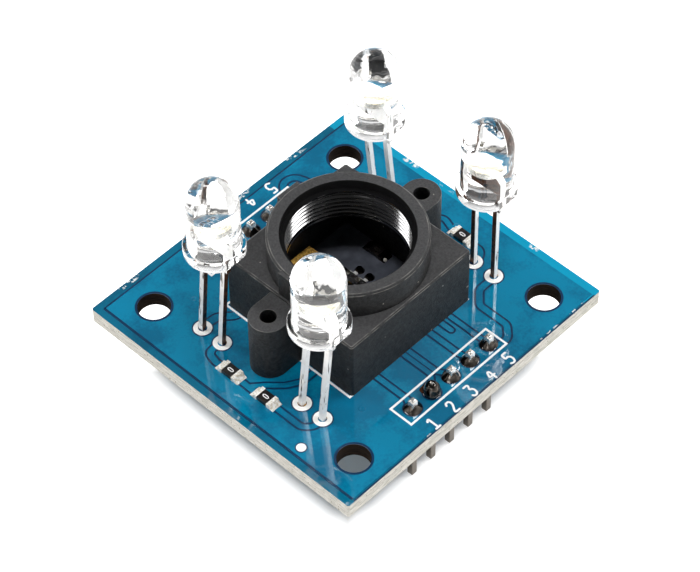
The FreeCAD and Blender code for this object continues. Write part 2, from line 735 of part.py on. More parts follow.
def make_tantalum():
    """Moulded tantalum capacitor with its folded straps and solder."""
    body = new_body("tantalum_body")
    lower = new_sketch(body, "tantalum_lower", "tantalum_part")
    box_outline(lower, "tantalum_long - 2 * strap_thick", "tantalum_wide")
    pad(body, lower, "tantalum_part - strap_thick", down=True)
    upper = new_sketch(body, "tantalum_upper", "tantalum_part")
    box_outline(upper, "tantalum_long - 2 * strap_thick", "tantalum_wide")
    pad(body, upper, "tantalum_top - tantalum_part", taper="-draft")
    straps = new_body("tantalum_straps")
    fold = new_sketch(straps, "strap_profile", role="XZ_Plane")
    outline(fold, (
        ("tantalum_long / 2 - strap_foot", "0"),
        ("tantalum_long / 2", "0"),
        ("tantalum_long / 2", "tantalum_part"),
        ("tantalum_long / 2 - strap_thick", "tantalum_part"),
        ("tantalum_long / 2 - strap_thick", "strap_thick"),
        ("tantalum_long / 2 - strap_foot", "strap_thick"),
    ))
    mirror(straps, pad(straps, fold, "strap_wide", both=True), "YZ_Plane")
    joints = end_fillets("tantalum_solder", "tantalum_long / 2", "strap_wide", "fillet_high")
    beside_wall = "holder_side / 2 - holder_wall - tantalum_gap - tantalum_wide / 2"
    for part in (body, straps, joints):
        place(part, along=f"grid_shift + {beside_wall}", lift=TOP)
        node(part, part.Name)


make_board()
make_holder()
make_holder_screws()
make_sensor()
for lamp in LAMPS:
    make_lamp(*lamp)
make_lead_joints()
make_header("header_a", -1)
make_header("header_b", 1)
for resistor in RESISTORS:
    make_resistor(*resistor)
make_tantalum()
doc.recompute()

for item in doc.Objects:
    if "Invalid" in item.State or "Error" in item.State:
        raise RuntimeError(f"{item.Name} is {item.State}")
os.makedirs("parts", exist_ok=True)
for item in NODES:
    if item.Shape.isNull() or not item.Shape.isValid():
        raise RuntimeError(f"{item.Label} has no valid shape")
    item.Shape.exportStep(f"parts/{item.Label}.step")
    box = item.Shape.BoundBox
    print(f"{item.Label}: {len(item.Shape.Solids)} solids, volume {item.Shape.Volume:.3f}, "
          f"z {box.ZMin:.2f} to {box.ZMax:.2f}")
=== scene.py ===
import math

import bmesh
import bpy
from mathutils import Matrix, Vector, noise


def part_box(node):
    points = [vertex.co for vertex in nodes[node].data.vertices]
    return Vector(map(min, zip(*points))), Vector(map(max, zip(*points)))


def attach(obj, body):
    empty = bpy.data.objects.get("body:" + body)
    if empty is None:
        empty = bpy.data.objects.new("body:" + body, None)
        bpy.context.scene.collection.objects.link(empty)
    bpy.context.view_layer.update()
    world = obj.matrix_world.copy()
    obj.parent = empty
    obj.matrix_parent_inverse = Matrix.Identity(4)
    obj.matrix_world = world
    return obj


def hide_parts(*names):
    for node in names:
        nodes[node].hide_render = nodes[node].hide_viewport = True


# Looks of the colour sensor module. Lengths are millimetres, turned into metres by MM.
# Places on the board are given from the middle of its hole grid, X along the header rows.

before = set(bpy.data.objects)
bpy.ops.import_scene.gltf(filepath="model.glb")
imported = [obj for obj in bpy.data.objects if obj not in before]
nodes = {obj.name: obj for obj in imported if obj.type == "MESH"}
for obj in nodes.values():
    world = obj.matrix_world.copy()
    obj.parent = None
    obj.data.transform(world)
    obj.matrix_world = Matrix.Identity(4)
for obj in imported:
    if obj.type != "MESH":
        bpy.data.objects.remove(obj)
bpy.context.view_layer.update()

MM = 0.001
LAMPS = ("led_1", "led_2", "led_3", "led_4")
HEADERS = ("header_a", "header_b")


def low(name):
    """Lowest corner of a node's box."""
    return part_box(name)[0] / MM


def high(name):
    """Highest corner of a node's box."""
    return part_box(name)[1] / MM


def centre(name):
    """Middle of a node's box."""
    return (low(name) + high(name)) / 2


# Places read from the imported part
GRID_Y = (centre("header_a_pin_3").y + centre("header_b_pin_3").y) / 2
TOP = high("circuit_board").z
UNDER = low("circuit_board").z
ROW = (centre("header_b_pin_3").y - centre("header_a_pin_3").y) / 2
PITCH = centre("header_a_pin_2").x - centre("header_a_pin_1").x
HOLDER_X = centre("holder_screws").x

# Board finish
POUR_INSET = 0.85
POUR_FRONT_INSET = 0.3
POUR_HIGH = 0.03
GAP_HIGH = 0.034
TRACE_HIGH = 0.042
PRINT_HIGH = 0.05
GAP_WIDE = 0.2
RIM_LINE = 0.08
PRINT_WIDE = 0.21
PAD_HIGH = 0.06
OVERLAY = 0.003
MOUNT = 12.7
MOUNT_HOLE = 1.6
LEAD_PAD = 0.9
LEAD_HOLE = 0.5
PAD_HOLE = 0.42
RING_GAP = 0.12
PIN_PAD = 0.84
BLOB_PIN = 1

BAND_REACH = 2.0
EDGE_SHARE = 0.97
SCREW_PAD = 1.2

# Places of the lamp leads and the holder's screws
LEAD_COLUMN = 11.43
LEAD_PAIR = 6.35
LEAD_HALF_PITCH = 1.27
SCREW_SPREAD = 10.05
SCREW_SHIFT = 0.3

# Chamber of the holder
CHAMBER_HALF = 6.93

# Lens thread
CREST = 5.745
ROOT = 5.99
THREAD_PITCH = 0.5
THREAD_LOW = 15.35
THREAD_HIGH = 18.4
LEAD_IN = 6.25
BORE_FOOT = 15.0
WELD = 0.001
# One turn from crest to crest: share of the pitch, share of the depth
THREAD_FORM = ((0.0, 0.0), (0.14, 0.0), (0.42, 1.0), (0.5, 1.0), (0.9, 0.0))

# Lamps
FLANGE_STEP = 0.4
FLANGE_HIGH = 0.95
CUP_RADIUS = 0.9
WIRE_RADIUS = 0.014

# Stage: name, direction, distance, width, height and level of each lamp
SOFT_LAMPS = (
    ("right_softbox", (0.55, -0.41, 0.73), 260, 100, 80, 0.5),
    ("left_softbox", (-0.31, 0.69, 0.66), 260, 80, 80, 0.33),
    ("front_fill", (-0.86, -0.4, 0.32), 260, 100, 100, 0.14),
    ("overhead_lamp", (-0.06, -0.06, 1.0), 260, 60, 60, 0.36),
)
SKY_OVERHEAD = 0.1
SKY_SHARE = 0.6
FLOOR_REACH = 4.0
# For the camera the floor is white, but for its shade this far in under the board
FLOOR_LIFT = 1.0
SHADE_SPAN = (2.6, 4.2)

# Camera, from the photograph: angles in degrees, the point it looks at, lens in millimetres
CAMERA_TURN = -45.763
CAMERA_RISE = 50.013
CAMERA_ROLL = -0.783
CAMERA_FAR = 280.797
CAMERA_AIM = (1.445, 1.277, 0.0)
CAMERA_LENS = 156.08
CAMERA_SENSOR = 36


def srgb(red, green, blue):
    """Linear colour from display values of 0 to 255."""
    def linear(value):
        share = value / 255
        return share / 12.92 if share <= 0.04045 else ((share + 0.055) / 1.055) ** 2.4
    return (linear(red), linear(green), linear(blue), 1)


def new_material(name):
    """An empty material, its node tree and its shader."""
    material = bpy.data.materials.new(name)
    material.use_nodes = True
    tree = material.node_tree
    return material, tree, tree.nodes["Principled BSDF"]


def add_node(tree, kind, inputs=(), **settings):
    """A shader node. Inputs are pairs of a socket and a value or another node's socket."""
    made = tree.nodes.new("ShaderNode" + kind)
    for key, value in settings.items():
        setattr(made, key, value)
    for key, value in inputs:
        if isinstance(value, bpy.types.NodeSocket):
            tree.links.new(value, made.inputs[key])
        else:
            made.inputs[key].default_value = value
    return made


def place_of(tree):
    """Where a point lies on its piece, in metres."""
    return add_node(tree, "TexCoord").outputs["Object"]


def noise_of(tree, size, detail=3.0, stretch=(1, 1, 1), seed=0.0):
    """Noise whose grain is about size millimetres."""
    spot = add_node(tree, "Mapping", [("Vector", place_of(tree)), ("Scale", stretch),
                                      ("Location", (seed, seed / 2, -seed))])
    return add_node(tree, "TexNoise", [("Vector", spot.outputs[0]), ("Scale", 1 / (size * MM)),
                                       ("Detail", detail)]).outputs["Fac"]


def between(tree, value, start, end, first=0.0, last=1.0):
    """First to last, as the value goes from start to end."""
    return add_node(tree, "MapRange", [("Value", value), ("From Min", start), ("From Max", end),
                                       ("To Min", first), ("To Max", last)]).outputs[0]


def math_of(tree, operation, *values):
    """Result of one operation on numbers or sockets."""
    return add_node(tree, "Math", list(enumerate(values)), operation=operation).outputs[0]


def blended(tree, share, first, second):
    """Colour between the first and the second."""
    mix = add_node(tree, "Mix", data_type="RGBA")
    for socket, value in ((mix.inputs[0], share), (mix.inputs[6], first), (mix.inputs[7], second)):
        if isinstance(value, bpy.types.NodeSocket):
            tree.links.new(value, socket)
        else:
            socket.default_value = value
    return mix.outputs[2]


def set_bump(tree, shader, value, depth):
    """Relief of depth millimetres."""
    bump = add_node(tree, "Bump", [("Height", value), ("Distance", depth * MM), ("Strength", 1.0)])
    tree.links.new(bump.outputs[0], shader.inputs["Normal"])


def surface(name, first, second, rough, patch=2.0, grain=0.2, depth=0.004, **sockets):
    """A finish with two colours in soft patches, roughness that varies and fine relief."""
    material, tree, shader = new_material(name)
    share = between(tree, noise_of(tree, patch), 0.35, 0.65)
    tree.links.new(blended(tree, share, first, second), shader.inputs["Base Color"])
    worn = between(tree, noise_of(tree, patch / 2, seed=3.0), 0.3, 0.7, rough[0], rough[1])
    tree.links.new(worn, shader.inputs["Roughness"])
    set_bump(tree, shader, noise_of(tree, grain, detail=2.0), depth)
    for key, value in sockets.items():
        shader.inputs[key.replace("_", " ")].default_value = value
    return material


def opened(material):
    """A finish's node tree, its shader and the colour that it has so far."""
    tree = material.node_tree
    shader = tree.nodes["Principled BSDF"]
    return tree, shader, shader.inputs["Base Color"].links[0].from_socket


def mask_finish(name, first, second):
    """Glossy solder mask, with faint clouds and ripples."""
    material, tree, shader = new_material(name)
    clouds = between(tree, noise_of(tree, 4.0, detail=5.0), 0.38, 0.62, -0.15, 1.15)
    specks = between(tree, noise_of(tree, 0.25, detail=2.0, seed=7.0), 0.3, 0.7, -0.3, 0.3)
    share = math_of(tree, "ADD", clouds, specks)
    tree.links.new(blended(tree, share, first, second), shader.inputs["Base Color"])
    shader.inputs["Roughness"].default_value = 0.5
    shader.inputs["Specular IOR Level"].default_value = 0.05
    shader.inputs["Coat Weight"].default_value = 1.0
    shader.inputs["Coat IOR"].default_value = 1.8
    shader.inputs["Coat Roughness"].default_value = 0.03
    set_bump(tree, shader, noise_of(tree, 1.2, detail=3.0, seed=2.0), 0.006)
    return material


def board_finish():
    """Mask on the two faces, pale laminate with its glass layers on the cut sides. The mask is painted darker
    underneath and lighter along the +x edge, as painted shade and sheen, and the hole walls are painted dark as
    shade inside the holes.
    """
    material = mask_finish("board_mask", srgb(0, 88, 118), srgb(0, 104, 136))
    tree, shader, base = opened(material)
    spot = add_node(tree, "SeparateXYZ", [("Vector", place_of(tree))])
    # Painted sheen: along the +x edge the mask band is a lighter copy of the mask.
    lit_side = math_of(tree, "GREATER_THAN", spot.outputs[0], (MOUNT + BAND_REACH) * MM)
    upper = math_of(tree, "GREATER_THAN", spot.outputs[2], (TOP - 0.1) * MM)
    lit_band = blended(tree, lit_side, base, srgb(0, 152, 190))
    # Painted shade: the mask band on the underside is a darker copy of the mask.
    mask_colour = blended(tree, upper, srgb(22, 74, 92), lit_band)
    fibres = between(tree, noise_of(tree, 0.35, detail=4.0, stretch=(0.35, 0.35, 3.0)), 0.35, 0.65)
    flecks = between(tree, noise_of(tree, 0.18, detail=3.0, seed=6.0), 0.63, 0.7)
    laminate = blended(tree, fibres, srgb(210, 209, 199), srgb(254, 251, 244))
    cut_side = blended(tree, flecks, laminate, srgb(150, 140, 118))
    # Painted shade: the hole walls are dark inside the holes.
    drilled_shade = blended(tree, fibres, srgb(24, 21, 20), srgb(52, 42, 34))
    middle = centre("circuit_board") * MM
    half = (high("circuit_board") - low("circuit_board")) / 2 * MM
    outer = [math_of(tree, "DIVIDE", math_of(tree, "ABSOLUTE", math_of(tree, "SUBTRACT", spot.outputs[i],
                                                                      middle[i])), half[i]) for i in (0, 1)]
    at_edge = math_of(tree, "GREATER_THAN", math_of(tree, "MAXIMUM", *outer), EDGE_SHARE)
    side = blended(tree, at_edge, drilled_shade, cut_side)
    facing = add_node(tree, "SeparateXYZ", [("Vector", add_node(tree, "NewGeometry").outputs["Normal"])])
    is_face = math_of(tree, "GREATER_THAN", math_of(tree, "ABSOLUTE", facing.outputs[2]), 0.7)
    worn_places = between(tree, noise_of(tree, 3.0, detail=1.0, seed=12.0), 0.62, 0.68)
    chips = between(tree, noise_of(tree, 0.3, detail=4.0, seed=13.0), 0.5, 0.56)
    scuffs = math_of(tree, "MULTIPLY", math_of(tree, "MULTIPLY", worn_places, chips), at_edge)
    mask_colour = blended(tree, scuffs, mask_colour, srgb(226, 232, 232))
    tree.links.new(blended(tree, is_face, side, mask_colour), shader.inputs["Base Color"])
    tree.links.new(between(tree, is_face, 0.0, 1.0, 0.85, 0.5), shader.inputs["Roughness"])
    tree.links.new(is_face, shader.inputs["Coat Weight"])
    return material


def plastic_finish(name, first, second, rough, top=None, worn=None):
    """Black moulded plastic with fine grain and a few specks of dust. Its upward faces are painted lighter, a
    painted top light, and softened edges have lighter patches, partly rubbed wear and partly painted highlight."""
    material = surface(name, first, second, rough, patch=0.35, grain=0.13, depth=0.03, Specular_IOR_Level=0.3)
    tree, shader, finish = opened(material)
    # Painted top light: faces that look up are lighter.
    if top:
        facing = add_node(tree, "SeparateXYZ", [("Vector", add_node(tree, "NewGeometry").outputs["Normal"])])
        grainy = between(tree, noise_of(tree, 0.2, detail=4.0, seed=8.0), 0.35, 0.65, 0.62, 1.0)
        lit_top = math_of(tree, "MULTIPLY", between(tree, facing.outputs[2], 0.55, 0.95), grainy)
        finish = blended(tree, lit_top, finish, top)
    # Lighter patches on the softened edges: partly rubbed wear, partly painted highlight.
    if worn:
        rubbed_and_highlit = between(tree, noise_of(tree, 1.1, detail=5.0, seed=4.0), 0.4, 0.66, 0.0, 0.9)
        finish = blended(tree, rubbed_and_highlit, finish, worn)
    dust = between(tree, noise_of(tree, 0.5, detail=0.0, seed=11.0), 0.865, 0.88)
    tree.links.new(blended(tree, dust, finish, srgb(150, 146, 138)), shader.inputs["Base Color"])
    return material


def thread_finish():
    """Smooth black plastic as the core pin left it."""
    return surface("thread_plastic", srgb(5, 5, 6), srgb(10, 10, 11), (0.14, 0.2), patch=1.0, grain=0.5,
                   depth=0.003, Specular_IOR_Level=1.0, Coat_Weight=1.0, Coat_IOR=1.7, Coat_Roughness=0.1)


def lead_finish():
    """Bright tinned steel, drawn lengthways, with dark streaks that are partly scores and partly painted
    reflection, and bare brown spots.
    """
    material = surface("tinned_lead", srgb(247, 246, 243), srgb(255, 255, 254), (0.1, 0.22), patch=0.8,
                       grain=0.5, depth=0.003, Metallic=0.1)
    tree, shader, base = opened(material)
    # Dark streaks lengthways: partly scores, partly painted reflection.
    dark_streak = between(tree, noise_of(tree, 0.3, detail=3.0, stretch=(1, 1, 0.1), seed=9.0), 0.62, 0.68)
    streaked = blended(tree, dark_streak, base, srgb(84, 78, 72))
    darkened = between(tree, noise_of(tree, 0.6, detail=4.0, stretch=(1, 1, 0.5), seed=5.0), 0.67, 0.72)
    tree.links.new(blended(tree, darkened, streaked, srgb(128, 84, 50)), shader.inputs["Base Color"])
    return material


def pin_finish():
    """Tinned pin, bright over the board and painted darker under it, painted shade under the board."""
    material = surface("pin_tin", srgb(232, 228, 222), srgb(252, 250, 246), (0.12, 0.24), patch=0.7, grain=0.3,
                       depth=0.004, Metallic=0.75)
    tree, shader, base = opened(material)
    spot = add_node(tree, "SeparateXYZ", [("Vector", place_of(tree))])
    # Painted shade: the pin is darker where it stands under the board.
    shade_below = between(tree, spot.outputs[2], (UNDER - 0.2) * MM, UNDER * MM, 1.0, 0.0)
    tree.links.new(blended(tree, shade_below, base, srgb(92, 84, 74)), shader.inputs["Base Color"])
    return material


def clear_finish(name, tint, rough, waves):
    """Clear resin with shallow waves."""
    material, tree, shader = new_material(name)
    shader.inputs["Base Color"].default_value = tint
    shader.inputs["Transmission Weight"].default_value = 1.0
    shader.inputs["IOR"].default_value = 1.5
    shader.inputs["Roughness"].default_value = rough
    set_bump(tree, shader, noise_of(tree, 1.5, detail=1.5), waves)
    return material


MASK = mask_finish("pour_mask", srgb(0, 101, 137), srgb(0, 126, 163))
# Dark mask in the clearances round traces, pads and holes: partly the tone of mask over bare laminate, partly
# painted shade in the narrow slots.
GAP_AND_SHADE = surface("gap_mask_and_shade", srgb(2, 42, 74), srgb(4, 52, 88), (0.3, 0.36), Coat_Weight=0.5, Coat_Roughness=0.05)
BOARD = board_finish()
# Painted reflection: a pale grey sheen over the dark mask on the floor inside the holder.
CHAMBER_SHEEN = surface("chamber_painted_sheen", srgb(78, 82, 92), srgb(98, 102, 112), (0.3, 0.4), patch=1.2)
PRINT = surface("silkscreen", srgb(246, 247, 248), srgb(254, 254, 254), (0.5, 0.65), patch=0.6, depth=0.001)
TIN = surface("tinned_pad", srgb(247, 245, 240), srgb(255, 255, 253), (0.3, 0.45), patch=0.5, grain=0.3,
              depth=0.004)
BARREL = surface("plated_barrel", srgb(92, 56, 22), srgb(206, 158, 76), (0.25, 0.45), patch=0.22, grain=0.2,
                 depth=0.03, Metallic=0.8)
# Solder painted dark, a painted dark reflection; its highlights come from the lamps.
SHADED_SOLDER = surface("solder", srgb(50, 46, 43), srgb(104, 98, 92), (0.08, 0.16), patch=0.5, grain=0.6,
                 depth=0.03, Metallic=1.0)
FLUX = surface("flux", srgb(30, 18, 10), srgb(82, 46, 22), (0.15, 0.3), patch=0.3, grain=0.3, depth=0.03)
LEAD = lead_finish()
# The lead sides that face away from the lamps, painted dark: painted shade and dark reflection.
LEAD_SHADE = surface("lead_painted_shade", srgb(16, 13, 12), srgb(92, 58, 36), (0.3, 0.45), patch=0.45, grain=0.3,
                  depth=0.01, Metallic=0.4)
PIN = pin_finish()
STRIP = plastic_finish("strip_plastic", srgb(18, 18, 20), srgb(26, 26, 28), (0.38, 0.5))
# Painted top light on the holder's upward faces.
HOLDER_LIT_TOP = srgb(69, 69, 70)
HOLDER_BLACK = plastic_finish("holder_plastic", srgb(6, 6, 7), srgb(33, 34, 35), (0.5, 0.62), HOLDER_LIT_TOP)
# Softened edges: a lighter copy of the plastic, partly wear and partly painted highlight.
HOLDER_EDGE = plastic_finish("holder_edge", srgb(26, 26, 27), srgb(40, 40, 40), (0.42, 0.55), HOLDER_LIT_TOP,
                             srgb(118, 116, 112))
THREAD = thread_finish()
# Painted shade: the lead-in wall of the bore, darker and matt.
BORE_SHADE = surface("bore_painted_shade", srgb(7, 7, 8), srgb(14, 14, 15), (0.6, 0.7), Specular_IOR_Level=0.2)
SCREW = surface("screw_steel", srgb(60, 58, 56), srgb(92, 90, 88), (0.25, 0.4), patch=0.8, Metallic=1.0)
CLEAR = clear_finish("clear_epoxy", (1, 1, 1, 1), 0.0, 0.06)
PACKAGE = clear_finish("clear_package", (0.9, 0.86, 0.8, 1), 0.04, 0.004)
PHOSPHOR = surface("phosphor", srgb(250, 236, 190), srgb(253, 246, 222), (0.5, 0.6), patch=0.3)
CUP = surface("reflector_cup", srgb(240, 236, 224), srgb(252, 250, 244), (0.2, 0.35), patch=0.5, Metallic=0.5)
CHIP_TOP = surface("resistor_coat", srgb(20, 18, 18), srgb(38, 34, 32), (0.25, 0.4), patch=0.5)
CHIP_END = surface("resistor_ends", srgb(206, 196, 176), srgb(255, 255, 253), (0.2, 0.4), patch=0.22,
                   grain=0.25, depth=0.03)
# Painted shade: the print of the resistor inside the holder, dark grey.
SHADED_PRINT = surface("mark_painted_shade", srgb(46, 44, 42), srgb(78, 74, 70), (0.4, 0.5), patch=0.2)
TANTALUM = surface("tantalum_yellow", srgb(134, 88, 30), srgb(255, 206, 104), (0.4, 0.6), patch=0.16)
DIE = surface("sensor_die", srgb(30, 22, 44), srgb(64, 40, 70), (0.1, 0.2), patch=0.12, Metallic=0.6)
PADDLE = surface("sensor_paddle", srgb(176, 150, 96), srgb(206, 182, 128), (0.2, 0.35), Metallic=1.0)


def add_object(name, mesh, *materials):
    """A piece that rides on the one body and takes its slot from its first material."""
    for material in materials:
        mesh.materials.append(material)
    piece = bpy.data.objects.new(name, mesh)
    bpy.context.scene.collection.objects.link(piece)
    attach(piece, "root")
    return piece


def add_mesh(name, shells, *materials, smooth=False):
    """One piece from shells of points in millimetres and faces."""
    points = []
    faces = []
    for shell_points, shell_faces in shells:
        start = len(points)
        points += [Vector(p) * MM for p in shell_points]
        faces += [[i + start for i in face] for face in shell_faces]
    mesh = bpy.data.meshes.new(name)
    mesh.from_pydata(points, [], faces)
    work = bmesh.new()
    work.from_mesh(mesh)
    bmesh.ops.recalc_face_normals(work, faces=work.faces)
    work.to_mesh(mesh)
    work.free()
    if smooth:
        mesh.shade_smooth()
        mesh.set_sharp_from_angle(angle=math.radians(40))
    return add_object(name, mesh, *materials)


def on_grid(x, y):
    """A place on the board, from the middle of its hole grid."""
    return Vector((x, y + GRID_Y))


def ring(x, y, radius, count=48):
    """Points of a circle on the board."""
    middle = on_grid(x, y)
    turn = 2 * math.pi / count
    return [(middle.x + radius * math.cos(i * turn), middle.y + radius * math.sin(i * turn))
            for i in range(count)]


def rounded(points, radius, steps=8):
    """The path with an arc of the radius at each inner corner."""
    path = [Vector(points[0])]
    for before, corner, after in zip(points, points[1:], points[2:]):
        corner = Vector(corner)
        back = (Vector(before) - corner).normalized()
        ahead = (Vector(after) - corner).normalized()
        half_turn = back.angle(ahead) / 2
        room = min((Vector(before) - corner).length, (Vector(after) - corner).length) * 0.48
        reach = min(radius / math.tan(half_turn), room)
        middle = corner + (back + ahead).normalized() * (reach / math.cos(half_turn))
        first = corner + back * reach - middle
        last = corner + ahead * reach - middle
        sweep = first.angle_signed(last)
        for i in range(steps + 1):
            angle = -sweep * i / steps
            turned = Matrix.Rotation(angle, 2) @ first
            path.append(middle + turned)
    path.append(Vector(points[-1]))
    return path


def ribbon(points, width, floor, roof, caps=True, steps=6):
    """A flat strip along the path, with round ends, as a closed shell."""
    path = [Vector(p) for p in points]
    pairs = []
    for i, p in enumerate(path):
        before = (p - path[i - 1]).normalized() if i else (path[1] - p).normalized()
        after = (path[i + 1] - p).normalized() if i + 1 < len(path) else before
        along = (before + after).normalized()
        across = Vector((-along.y, along.x))
        stretch = 1 / max(0.5, across.dot(Vector((-before.y, before.x))))
        pairs.append((p, across * (width / 2 * stretch), along))
    if caps:
        for end, way in ((0, -1), (-1, 1)):
            p, across, along = pairs[end]
            extra = []
            for i in range(1, steps + 1):
                turn = math.pi / 2 * i / steps
                share = max(math.cos(turn), 0.02)
                extra.append((p + along * (way * width / 2 * math.sin(turn)), across * share, along))
            pairs = extra[::-1] + pairs if end == 0 else pairs + extra
    outline = [p + a for p, a, along in pairs] + [p - a for p, a, along in reversed(pairs)]
    count = len(outline)
    shell = [(p.x, p.y, floor) for p in outline] + [(p.x, p.y, roof) for p in outline]
    faces = [(i, (i + 1) % count, (i + 1) % count + count, i + count) for i in range(count)]
    for i in range(len(pairs) - 1):
        j = count - 1 - i
        faces.append((i + count, i + 1 + count, j - 1 + count, j + count))
        faces.append((i, j, j - 1, i + 1))
    return shell, faces


def lathe(x, y, profile, count=48, bumps=0.0, seed=0.0):
    """A closed turned shell about an upright axis. The profile runs from the axis to the axis."""
    shell = []
    inner = profile[1:-1]
    for i in range(count):
        turn = 2 * math.pi * i / count
        for radius, height in inner:
            spot = Vector((math.cos(turn) * 1.5, math.sin(turn) * 1.5 + seed, height * 2))
            r = radius * (1 + bumps * noise.noise(spot))
            shell.append((x + r * math.cos(turn), y + r * math.sin(turn), height))
    width = len(inner)
    shell.append((x, y, profile[0][1]))
    shell.append((x, y, profile[-1][1]))
    start, end = len(shell) - 2, len(shell) - 1
    faces = []
    for i in range(count):
        a = i * width
        b = (i + 1) % count * width
        faces += [(a + k, b + k, b + k + 1, a + k + 1) for k in range(width - 1)]
        faces += [(start, b, a), (end, a + width - 1, b + width - 1)]
    return shell, faces


def tube(x, y, profile, count=48):
    """A closed ring about an upright axis, from a closed profile."""
    shell = []
    for i in range(count):
        turn = 2 * math.pi * i / count
        shell += [(x + r * math.cos(turn), y + r * math.sin(turn), z) for r, z in profile]
    width = len(profile)
    faces = []
    for i in range(count):
        a = i * width
        b = (i + 1) % count * width
        faces += [(a + k, b + k, b + (k + 1) % width, a + (k + 1) % width) for k in range(width)]
    return shell, faces


def plate(name, loops, floor, roof, material):
    """A thin plate with holes: the first loop is its outline."""
    curve = bpy.data.curves.new(name, "CURVE")
    curve.dimensions = "2D"
    curve.fill_mode = "BOTH"
    curve.extrude = (roof - floor) / 2 * MM
    for loop in loops:
        spline = curve.splines.new("POLY")
        spline.points.add(len(loop) - 1)
        for point, spot in zip(spline.points, loop):
            point.co = (spot[0] * MM, spot[1] * MM, 0, 1)
        spline.use_cyclic_u = True
    drawn = bpy.data.objects.new(name + "_curve", curve)
    bpy.context.scene.collection.objects.link(drawn)
    graph = bpy.context.evaluated_depsgraph_get()
    mesh = bpy.data.meshes.new_from_object(drawn.evaluated_get(graph))
    mesh.transform(Matrix.Translation((0, 0, (roof + floor) / 2 * MM)))
    mesh.materials.clear()
    bpy.data.objects.remove(drawn)
    return add_object(name, mesh, material)


def dressed(name, material, bevel=0.03, segments=2, keep_out=None, edge=None, darkened=None):
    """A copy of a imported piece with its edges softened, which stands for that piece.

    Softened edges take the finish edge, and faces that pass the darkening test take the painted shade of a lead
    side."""
    source = nodes[name]
    work = bmesh.new()
    work.from_mesh(source.data)
    bmesh.ops.remove_doubles(work, verts=work.verts, dist=1e-7)
    bmesh.ops.dissolve_limit(work, angle_limit=math.radians(0.5), verts=work.verts, edges=work.edges)
    for face in work.faces:
        face.material_index = 0
    sharp = [e for e in work.edges if e.is_manifold and e.calc_face_angle() > math.radians(28)
             and not (keep_out and keep_out(e))]
    bmesh.ops.bevel(work, geom=sharp, offset=bevel * MM, segments=segments, affect="EDGES", profile=0.5,
                    clamp_overlap=True, material=1 if edge else -1)
    if darkened:
        for face in work.faces:
            face.material_index = int(darkened(face))
    mesh = bpy.data.meshes.new(name + "_look")
    work.to_mesh(mesh)
    work.free()
    second = edge or (LEAD_SHADE if darkened else None)
    piece = add_object(name + "_look", mesh, *([material, second] if second else [material]))
    settle_normals(piece, 50)
    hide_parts(name)
    return piece


def baked(piece):
    """The piece's mesh with its modifiers applied."""
    graph = bpy.context.evaluated_depsgraph_get()
    mesh = bpy.data.meshes.new_from_object(piece.evaluated_get(graph))
    piece.modifiers.clear()
    return mesh


def settle_normals(piece, angle):
    """Large faces shade flat, softened edges turn between them, and edges over the angle stay sharp."""
    mesh = piece.data
    if mesh.has_custom_normals:
        mesh.attributes.remove(mesh.attributes["custom_normal"])
    mesh.shade_smooth()
    mesh.set_sharp_from_angle(angle=math.radians(angle))
    weigh = piece.modifiers.new("weigh", "WEIGHTED_NORMAL")
    weigh.keep_sharp = True
    piece.data = baked(piece)


def paint(name, material):
    """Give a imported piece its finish."""
    mesh = nodes[name].data
    mesh.materials.clear()
    mesh.materials.append(material)


LEAD_SPOTS = [(side * LEAD_COLUMN, end * LEAD_PAIR + lead * LEAD_HALF_PITCH)
              for side in (-1, 1) for end in (-1, 1) for lead in (-1, 1)]
PIN_SPOTS = [((i - 2) * PITCH, row * ROW) for row in (-1, 1) for i in range(5)]
SCREW_SPOTS = [(side * SCREW_SPREAD, SCREW_SHIFT) for side in (-1, 1)]
VIAS = ((-8.2, -9.4), (7.1, -11.2), (13.6, -1.0), (-9.6, 10.6))
DOT = (-15.05, -8.48)
DOT_RADIUS = 0.46

# Traces: width, corner radius and path, from the pads to where the holder hides them
TRACES = (
    (0.55, 0.5, ((-4.65, -7.0), (-4.65, -11.6), (-5.08, -12.4))),
    (0.47, 0.5, ((-1.1, -7.0), (-1.1, -11.2), (-2.2, -12.4))),
    (0.47, 0.5, ((-0.5, -7.0), (-0.5, -11.4), (0.0, -12.3))),
    (0.55, 0.5, ((2.4, -7.0), (2.4, -11.4), (2.54, -12.3))),
    (0.5, 0.3, ((3.95, -7.0), (3.95, -9.1))),
    (0.46, 0.3, ((5.08, -7.0), (5.08, -12.3))),
    (0.6, 0.9, ((11.2, -7.75), (9.3, -7.75), (7.9, -9.0), (7.9, -12.4), (6.8, -13.5), (5.5, -13.5))),
    (0.75, 1.2, ((-11.3, 7.7), (-9.6, 7.6), (-8.3, 6.4), (-7.0, 6.4))),
    (0.6, 0.7, ((-11.6, 5.2), (-13.1, 5.2), (-13.4, 3.9), (-13.35, 3.2))),
    (0.55, 0.4, ((-13.4, 1.0), (-13.45, -1.2))),
    (0.55, 0.9, ((-13.4, -3.6), (-13.4, -6.9), (-12.6, -7.7), (-11.6, -7.7))),
    (0.5, 0.8, ((-13.15, -0.45), (-12.2, -1.3), (-11.0, -2.6), (-9.6, -3.4), (-7.0, -3.4))),
    (0.5, 0.8, ((12.95, -3.6), (13.0, -4.6), (12.2, -5.2), (11.5, -5.1))),
    (0.5, 0.8, ((12.95, -1.2), (13.6, 0.6), (11.6, 2.6), (7.0, 2.6))),
    (0.6, 1.2, ((5.08, 12.9), (6.2, 14.8), (7.6, 14.6), (8.1, 13.2), (7.4, 11.6), (7.2, 7.0))),
    (0.5, 0.6, ((2.54, 12.5), (2.54, 7.0))),
    (0.5, 0.6, ((-2.54, 12.5), (-2.2, 11.0), (-2.2, 7.0))),
    (0.5, 0.6, ((-5.08, 12.5), (-4.6, 11.0), (-4.6, 7.0))),
)

